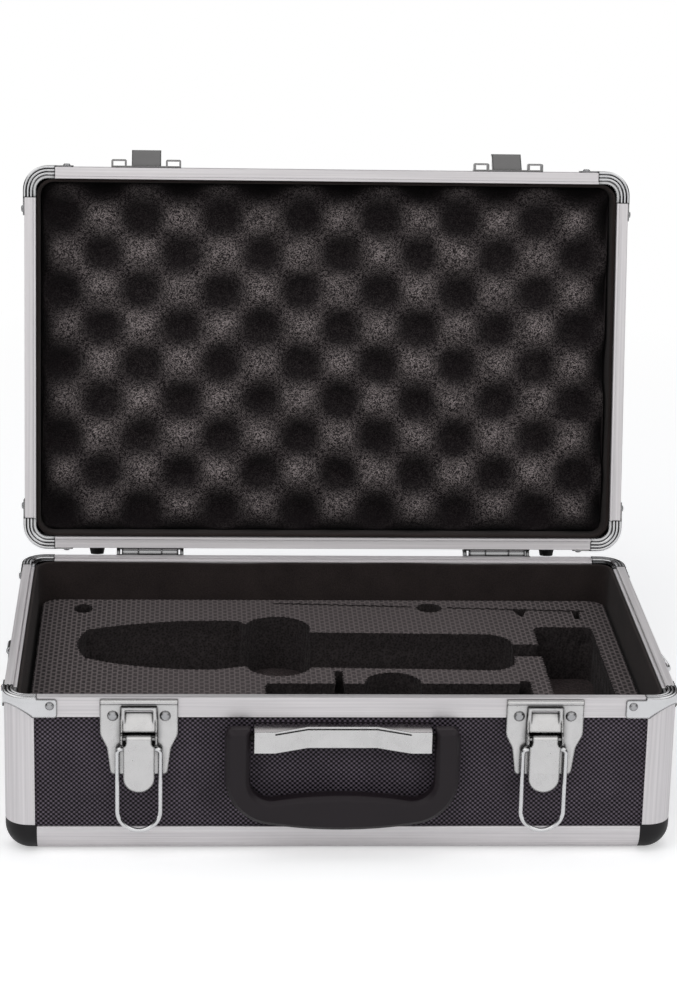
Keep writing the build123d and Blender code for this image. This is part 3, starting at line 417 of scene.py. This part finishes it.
# Handle grip
# One black moulding with a fine matt grain, worn smooth along its edges.
finish_nodes(moulded("grip_plastic", (0.0135, 0.0095, 0.012), 0.46, 1400, rounding=0.0014), "handle_grip")


# Feet
# Tapered black rubber on the rear walls.
finish_nodes(moulded("foot_rubber", (0.008, 0.008, 0.008), 0.62, 700), "base_rear_feet", "lid_rear_feet")


# Handle pins
# Blackened steel, hardly seen between the grip and its bracket.
finish_nodes(plated("black_steel", (0.06, 0.055, 0.055), 0.4, 0.1), "handle_pins")


# Lining
# Thin board with a dull dark felt facing, bent round the inside of the walls and stood in the rim. Its upper
# edge is folded round and waves a little.
lining_thickness = 0.0018
lining_wave = 0.00025
lining_corner = 0.0098
lining_step = 0.006
lid_lining_top = 0.035


def new_piece(name, points, faces, body, material, smooth=True):
    """Puts computed points and faces into a mesh object that rides on a body."""
    mesh = bpy.data.meshes.new(name)
    mesh.from_pydata(points, [], faces)
    mesh.polygons.foreach_set("use_smooth", np.full(len(mesh.polygons), smooth))
    mesh.materials.append(material)
    made = bpy.data.objects.new(name, mesh)
    scene.collection.objects.link(made)
    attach(made, body)
    return made


def grid_faces(rows, columns, joined=False):
    """Quads of a grid of rows by columns. joined closes the last row onto the first."""
    row = np.arange(rows if joined else rows - 1)[:, None]
    column = np.arange(columns - 1)[None, :]
    here = row * columns + column
    there = (row + 1) % rows * columns + column
    return np.stack([here, there, there + 1, here + 1], axis=-1).reshape(-1, 4)


def rounded_loop(half_x, half_y, radius, step):
    """Points and outward directions round a rounded rectangle: each straight side, then a quarter circle.
    half_x and half_y are half its sides, step is about the distance between points."""
    spots, ways = [], []
    for turn in range(4):
        middle = turn * pi / 2
        reach, side = (half_x, half_y) if turn % 2 == 0 else (half_y, half_x)
        count = max(int(2 * (side - radius) / step), 2)
        along = np.linspace(-(side - radius), side - radius, count, endpoint=False)
        out = np.array([cos(middle), sin(middle)])
        left = np.array([-sin(middle), cos(middle)])
        spots.append(out * reach + along[:, None] * left)
        ways.append(np.tile(out, (count, 1)))
        bend = middle + np.linspace(0, pi / 2, max(int(radius * pi / 2 / step), 6), endpoint=False)
        round_way = np.stack([np.cos(bend), np.sin(bend)], axis=1)
        spots.append(out * (reach - radius) + left * (side - radius) + round_way * radius)
        ways.append(round_way)
    return np.concatenate(spots), np.concatenate(ways)


def lid_place(points):
    """Turns points of a tray with its rim up over onto the base, and opens them with the lid."""
    move = np.array(about_hinge(-lid_open) @ turned_over())
    return points @ move[:3, :3].T + move[:3, 3]


def soft_surface(tree, colour, rough, normal, sheen, sheen_rough):
    """Ends a material of fibres or cells in one dull shader with a faint sheen."""
    sheens = {"Sheen_Weight": sheen, "Sheen_Roughness": sheen_rough}
    surface(tree, colour, rough, normal, Specular_IOR_Level=0.15, **sheens)


def felt(name, colour):
    """Dull fibres: fine noise in the colour and in the relief, and a soft sheen."""
    made, tree = new_finish(name)
    place = node(tree, "TexCoord").outputs["Object"]
    fibre = noise(tree, place, 1500, 3, 0.7)
    mixed = maths(tree, "MULTIPLY_ADD", noise(tree, place, 60, 4), 0.5, fibre)
    tint = blend(tree, spread(tree, mixed, 0.45, 1.05), shaded(colour, 0.45), shaded(colour, 1.5))
    soft_surface(tree, tint, 0.95, relief(tree, fibre, 0.5, 0.0003), sheen=0.04, sheen_rough=0.6)
    return made


def lining_points(half_x, half_y, radius, low, high):
    """A section carried round a rounded rectangle: up the outer face, over the top in a half circle and down
    the inner face. Along the loop, run = 0 to 2 pi, the top rises by sin(7 run + 0.6) + 0.6 sin(17 run + 2)
    times lining_wave."""
    spots, ways = rounded_loop(half_x, half_y, radius, lining_step)
    count = len(spots)
    run = np.arange(count) / count * 2 * pi
    wave = lining_wave * (np.sin(run * 7 + 0.6) + 0.6 * np.sin(run * 17 + 2.0))
    bend = np.linspace(0, pi, 9)
    half = lining_thickness / 2
    inward = np.concatenate([[0], half - half * np.cos(bend), [2 * half]])
    height = np.concatenate([[0], np.ones(9), [0]])
    crown = np.concatenate([[0], half * np.sin(bend) - half, [0]])
    level = low + (high - low) * height + crown
    spots = spots[:, None, :] - ways[:, None, :] * inward[None, :, None]
    rise = level[None, :] + wave[:, None] * height[None, :]
    return np.concatenate([spots, rise[:, :, None]], axis=2), count, len(inward)


lining_felt = felt("lining_felt", (0.022, 0.0165, 0.0155))
lining_low, lining_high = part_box("base_lining")
lining_plan = (lining_high.x, lining_high.y, lining_corner, lining_low.z)
points, rows, columns = lining_points(*lining_plan, lining_high.z)
faces = grid_faces(rows, columns, joined=True)[:, ::-1]
base_lining = new_piece("base_lining_felt", points.reshape(-1, 3), faces, "base", lining_felt)
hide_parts("base_lining")

points = lid_place(lining_points(*lining_plan, lid_lining_top)[0].reshape(-1, 3))
lid_lining = new_piece("lid_lining_felt", points, faces, "lid", lining_felt)
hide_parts("lid_lining")


# Foam under the cut layer
# A plain slab of dark foam that makes the floor of every recess.
def open_cell(name, colour, scale, depth):
    """Open-cell foam: small cells of two noises in colour and relief. depth is the strength of the relief."""
    made, tree = new_finish(name)
    place = node(tree, "TexCoord").outputs["Object"]
    cells = node(tree, "TexVoronoi", Vector=place, Scale=scale).outputs["Distance"]
    mixed = maths(tree, "ADD", cells, noise(tree, place, scale * 0.6, 4, 0.75))
    patch = spread(tree, noise(tree, place, 90, 4), 0.3, 0.7, 0.75, 1.15)
    tone = maths(tree, "MULTIPLY", spread(tree, mixed, 0.55, 1.25), patch)
    tint = blend(tree, tone, shaded(colour, 0.3), shaded(colour, 1.7))
    soft_surface(tree, tint, 0.95, relief(tree, mixed, depth, 0.0008), sheen=0.03, sheen_rough=0.5)
    return made


plain_foam = open_cell("plain_foam", (0.034, 0.026, 0.026), 900, 0.6)
slab_corner = 0.009
slab_step = 0.003
slab_edge = 0.001
slab_low, slab_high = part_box("foam_base_layer")
spots, ways = rounded_loop(slab_high.x, slab_high.y, slab_corner, slab_step)
layers = []
for ring, height in (
    (spots, slab_low.z),
    (spots, slab_high.z - slab_edge),
    (spots - ways * slab_edge * 0.3, slab_high.z - slab_edge * 0.3),
    (spots - ways * slab_edge, slab_high.z),
    (spots * 0.5, slab_high.z),
):
    layers.append(np.concatenate([ring, np.full((len(ring), 1), height)], axis=1))
rows, columns = len(spots), len(layers)
points = np.stack(layers, axis=1).reshape(-1, 3)
faces = grid_faces(rows, columns, joined=True).tolist()
faces.append([row * columns + columns - 1 for row in range(rows)])
faces.append([row * columns for row in reversed(range(rows))])
base_slab = new_piece("foam_slab", points, faces, "base", plain_foam, smooth=False)
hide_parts("foam_base_layer")


# Cut foam layer
# Foam with an embossed top, cut through by hand for the tool, its cable and its accessories. The knife ran
# across the embossing, so every edge is scalloped, and the cut walls are rough.
emboss_pitch = (0.0054, 0.0053)
scallop = 0.00035
scallop_depth = 0.003
scallop_pitch = 0.0031
cut_step = 0.0009
cut_depths = [0, 0.0006, 0.002, 0.005, 0.010, 0.016, 0.023, 0.0315]
cut_draw = 0.0012
cut_draw_depth = 0.010
tear = (0.00025, 0.0004)
tear_depth = 0.004
top_unevenness = 0.00012
slit_half = 0.0010
slit_step = 0.0005
slit_taper = 0.002
slit_rear = 0.0910
slit_slope = 0.0653
slit_left = -0.030
slit_share = 0.2
slit_gap = (0.0502, 0.0678)
slit_right = 0.1476
slit_notches = [(0.1098, 0.0042, 0.0100, 1.2), (0.1413, 0.0020, 0.0120, 5)]


def top_loops(name):
    """Loops of corners round the top face of a CAD node: the edges between the top and the walls."""
    mesh = bmesh.new()
    mesh.from_mesh(nodes[name].data)
    bmesh.ops.remove_doubles(mesh, verts=mesh.verts, dist=1e-6)
    top = max(corner.co.z for corner in mesh.verts)
    follow = {}
    for edge in mesh.edges:
        if all(abs(corner.co.z - top) < 1e-6 for corner in edge.verts):
            flat = [face for face in edge.link_faces if face.normal.z > 0.99]
            if len(flat) == 1:
                loop = next(loop for loop in flat[0].loops if loop.edge == edge)
                follow[loop.vert] = loop.link_loop_next.vert
    loops = []
    while follow:
        start = next(iter(follow))
        chain = [start]
        step = follow.pop(start)
        while step is not start:
            chain.append(step)
            step = follow.pop(step)
        loops.append(np.array([corner.co.xy for corner in chain]))
    mesh.free()
    return loops, top


def even_loop(corners, step):
    """Points at an even step round a closed loop, the direction to its right at each, and how far along the
    loop each lies."""
    closed = np.concatenate([corners, corners[:1]])
    lengths = np.concatenate([[0], np.cumsum(np.linalg.norm(np.diff(closed, axis=0), axis=1))])
    spots = np.linspace(0, lengths[-1], max(int(lengths[-1] / step), 12), endpoint=False)
    loop = np.stack([np.interp(spots, lengths, closed[:, way]) for way in (0, 1)], axis=1)
    along = np.roll(loop, -1, axis=0) - np.roll(loop, 1, axis=0)
    along /= np.linalg.norm(along, axis=1)[:, None]
    return loop, np.stack([along[:, 1], -along[:, 0]], axis=1), spots


def torn(x, y, z):
    """Smooth irregular noise within 1 of 0: a third of the sum of three products of two sines each, whose
    lengths don't fit each other."""
    first = np.sin(x * 1900 + 3 * np.sin(z * 700)) * np.sin(y * 2100 + 2 * np.sin(x * 900))
    second = np.sin(x * 870 + y * 640 + z * 1500) * np.sin(z * 1100 - y * 930)
    third = np.sin(x * 410 - z * 520 + 1.3) * np.sin(y * 380 + x * 150)
    return (first + second + third) / 3


loops, cut_top = top_loops("foam_cut_layer")


def slit(start, end, notches=()):
    """Corners of a thin jagged slit along the rear edge, clockwise. Its middle is a sloping line with two
    sines, its half width slit_half with one, and it tapers at both ends. Each notch in its near edge is a
    middle, a half width, a depth and how square it is."""
    x = np.arange(start, end, slit_step)
    middle = slit_rear - (x - slit_left) * slit_slope + 0.0005 * np.sin(x * 1180) + 0.0003 * np.sin(x * 2900)
    half = slit_half + 0.00025 * np.sin(x * 1700 + 1)
    ends = np.minimum(np.minimum(x - start, end - x) / slit_taper, 1.0)
    near = half * ends
    for place, width, deep, square in notches:
        near = near + deep * np.clip(square * (1 - np.abs(x - place) / width), 0, 1)
    upper = np.stack([x, middle + half * ends], axis=1)
    lower = np.stack([x, middle - near], axis=1)
    return np.concatenate([upper, lower[::-1]])


def cut_wall(corners, share):
    """The wall below a closed loop of corners, as a grid of points round it by depth. Its top edge is
    scalloped by cos(x) cos(y) of the embossing and by a sine along the knife's way, which fade as
    exp(-depth / scallop_depth). Further down it is drawn into the foam by cut_draw and torn. share is how
    much it is scalloped and torn."""
    loop, outside, spots = even_loop(corners, cut_step)
    across, along = (loop[:, way] * 2 * pi / emboss_pitch[way] for way in (0, 1))
    knife = np.sin(spots * 2 * pi / scallop_pitch + np.sin(spots * 130))
    wave = share * scallop * (np.cos(across) * np.cos(along) + 1.3 * knife)
    layers = []
    for depth in cut_depths:
        rough = torn(loop[:, 0], loop[:, 1], depth)
        drawn_in = cut_draw * min(depth / cut_draw_depth, 1.0)
        drawn_in = drawn_in + share * rough * (tear[0] + tear[1] * min(depth / tear_depth, 1.0))
        rim = wave * np.exp(-depth / scallop_depth) - drawn_in
        height = cut_top - depth + top_unevenness * rough * (depth == 0)
        layers.append(np.concatenate([loop + outside * rim[:, None], height[:, None]], axis=1))
    return np.stack(layers, axis=1)


walls = [cut_wall(corners, 1.0) for corners in loops]
walls.append(cut_wall(slit(slit_left, slit_gap[0]), slit_share))
walls.append(cut_wall(slit(slit_gap[1], slit_right, slit_notches), slit_share))
points, faces, rims = [], [], []
total = 0
for wall in walls:
    rows, columns = wall.shape[:2]
    points.append(wall.reshape(-1, 3))
    faces.append(grid_faces(rows, columns, joined=True)[:, ::-1] + total)
    rims.append(total + np.arange(rows) * columns)
    total += rows * columns
points = np.concatenate(points)
faces = np.concatenate(faces)


def embossed_foam(name, colour):
    """Foam pressed with two staggered sets of small marks where it faces up, each painted dark as painted
    shade in its pit, and that painted shade fainter near the middle of the case. Its cut walls are plain open
    cells, darker and rougher."""
    made, tree = new_finish(name)
    place = node(tree, "TexCoord").outputs["Object"]
    parts = parts_of(tree, place)
    across, along = (wave_along(tree, parts[way], pitch) for way, pitch in zip("XY", emboss_pitch))
    # Painted shade: each mark is painted dark.
    marks = []
    for sign in (1, -1):
        narrow = spread(tree, across, 0.3 * sign, 0.75 * sign)
        tall = spread(tree, along, -0.75 * sign, -0.2 * sign)
        marks.append(maths(tree, "MULTIPLY", narrow, tall))
    ridge = maths(tree, "SUBTRACT", 1.0, maths(tree, "MAXIMUM", *marks))
    # The painted shade of the marks is fainter near the middle of the case.
    faint = spread(tree, maths(tree, "ABSOLUTE", parts["X"]), 0.08, 0.14, 0.3, 0.0)
    ridge = maths(tree, "MAXIMUM", ridge, faint)
    grain = noise(tree, place, 900, 4, 0.75)
    cells = node(tree, "TexVoronoi", Vector=place, Scale=800).outputs["Distance"]
    upward = parts_of(tree, node(tree, "NewGeometry").outputs["Normal"])["Z"]
    level = spread(tree, upward, 0.5, 0.8)
    torn_tone = spread(tree, maths(tree, "ADD", cells, grain), 0.5, 1.35, 0.0, 0.30)
    flat_tone = spread(tree, maths(tree, "MULTIPLY_ADD", ridge, 1.3, grain), 0.2, 1.8)
    tone = node(tree, "Mix", i0=level, i2=torn_tone, i3=flat_tone).outputs[0]
    tint = blend(tree, tone, shaded(colour, 0.1), shaded(colour, 1.35))
    height = maths(tree, "MULTIPLY_ADD", grain, 0.3, maths(tree, "MULTIPLY", ridge, level))
    soft_surface(tree, tint, 0.92, relief(tree, height, 0.9, 0.0009), sheen=0.04, sheen_rough=0.5)
    return made


cut_foam = embossed_foam("embossed_foam", (0.095, 0.080, 0.080))
cut_layer = new_piece("foam_cut_top", points, faces, "base", cut_foam, smooth=False)
mesh = bmesh.new()
mesh.from_mesh(cut_layer.data)
mesh.verts.ensure_lookup_table()
rim_edges = []
for rim in rims:
    ring = [mesh.verts[index] for index in rim]
    rim_edges += [mesh.edges.get((ring[i - 1], ring[i])) for i in range(len(ring))]
bmesh.ops.triangle_fill(mesh, edges=rim_edges, use_beauty=True, normal=(0, 0, 1))
mesh.to_mesh(cut_layer.data)
mesh.free()
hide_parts("foam_cut_layer")


# Egg-crate foam
# One black moulding of convoluted foam. Peaks and hollows alternate like a chequerboard, and the edges lie
# against the lining.
crate_pitch = (0.045, 0.0418)
crate_peak = (-0.014, 0.017)
crate_swing = 0.008
crate_top = 0.0322
crate_floor = 0.0066
crate_half = (0.1612, 0.0987)
crate_corner = 0.0075
crate_margin = 0.0006
crate_tuck = 0.0035
crate_tuck_reach = 0.0022
crate_step = 0.0013
crate_edge_shade_reach = 0.024


def crate_height(x, y):
    """crate_top - crate_swing + crate_swing * (wave + 0.08 (wave^2 - 1)), where wave is the cosine along X
    times the cosine along Y. Slow sines set one peak apart from the next, and the edges are tucked down."""
    across = np.cos(2 * pi * (x - crate_peak[0]) / crate_pitch[0])
    along = np.cos(2 * pi * (y - crate_peak[1]) / crate_pitch[1])
    wave = across * along
    wave = wave + 0.08 * (wave**2 - 1)
    wander = 0.0006 * np.sin(x * 61 + 1.0) * np.sin(y * 83) + 0.0004 * np.sin(x * 173 + y * 140)
    edge = np.minimum(crate_half[0] - np.abs(x), crate_half[1] - np.abs(y))
    tuck = crate_tuck * np.exp(-np.maximum(edge, 0) / crate_tuck_reach)
    return crate_top - crate_swing + crate_swing * wave + wander - crate_margin - tuck


def round_corners(x, y):
    """Pulls the points that lie past the rounded corners of the plan back onto their arcs."""
    past_x = np.clip(np.abs(x) - (crate_half[0] - crate_corner), 0, None)
    past_y = np.clip(np.abs(y) - (crate_half[1] - crate_corner), 0, None)
    far = np.hypot(past_x, past_y)
    outside = far > crate_corner
    pull = np.where(outside, crate_corner / np.maximum(far, 1e-9), 1.0)
    x = np.where(outside, np.sign(x) * (crate_half[0] - crate_corner + past_x * pull), x)
    y = np.where(outside, np.sign(y) * (crate_half[1] - crate_corner + past_y * pull), y)
    return x, y


lines = [np.linspace(-half, half, int(2 * half / crate_step)) for half in crate_half]
x, y = round_corners(*np.meshgrid(*lines, indexing="ij"))
points = np.stack([x, y, crate_height(x, y)], axis=-1)
rows, columns = x.shape
faces = grid_faces(rows, columns)
edge_walk = np.concatenate(
    [
        np.arange(columns),
        np.arange(1, rows) * columns + columns - 1,
        (rows - 1) * columns + np.arange(columns - 2, -1, -1),
        np.arange(rows - 2, 0, -1) * columns,
    ]
)
flat = points.reshape(-1, 3)
skirt = flat[edge_walk].copy()
skirt[:, 2] = crate_floor
here = np.arange(len(edge_walk))
there = np.roll(here, -1)
skirt_faces = np.stack([edge_walk[here], edge_walk[there], len(flat) + there, len(flat) + here], axis=1)


def crate_finish(name):
    """Black open-cell foam whose cut skin is speckled with pale cells. The speckle is painted brighter
    towards the peaks, as painted light, and darker towards the edges of the foam, as painted shade."""
    made, tree = new_finish(name)
    tray = tray_coordinates(tree, True)
    parts = parts_of(tree, tray)
    rise = spread(tree, parts["Z"], crate_top - 2 * crate_swing, crate_top - 0.001)
    speck = noise(tree, tray, 2600, 0)
    cells = node(tree, "TexVoronoi", Vector=tray, Scale=1500).outputs["Color"]
    cells = node(tree, "SeparateColor", i0=cells).outputs[0]
    bright = spread(tree, maths(tree, "MULTIPLY_ADD", cells, 0.55, speck), 0.62, 1.08)
    # Painted light: more pale speckle towards the peaks, less in the hollows.
    share = spread(tree, rise, 0.12, 0.95, 0.10, 1.0, interpolation_type="SMOOTHSTEP")
    mottle = spread(tree, noise(tree, tray, 70, 4), 0.35, 0.7, 0.7, 1.2)
    bright = maths(tree, "MULTIPLY", maths(tree, "MULTIPLY", bright, share), mottle)
    # Painted shade: less pale speckle towards the edges of the foam.
    for way, half in zip("XY", crate_half):
        out = maths(tree, "ABSOLUTE", parts[way])
        inside = spread(tree, out, half, half - crate_edge_shade_reach, 0.3, 1.0, interpolation_type="SMOOTHSTEP")
        bright = maths(tree, "MULTIPLY", bright, inside)
    tint = blend(tree, bright, (0.0052, 0.0036, 0.0042), (0.30, 0.26, 0.255))
    soft_surface(tree, tint, 0.95, relief(tree, speck, 0.6, 0.0006), sheen=0.03, sheen_rough=0.5)
    return made


crate = new_piece(
    "egg_crate_foam",
    lid_place(np.concatenate([flat, skirt])),
    np.concatenate([faces, skirt_faces]),
    "lid",
    crate_finish("egg_crate"),
)
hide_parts("lid_convoluted_foam")
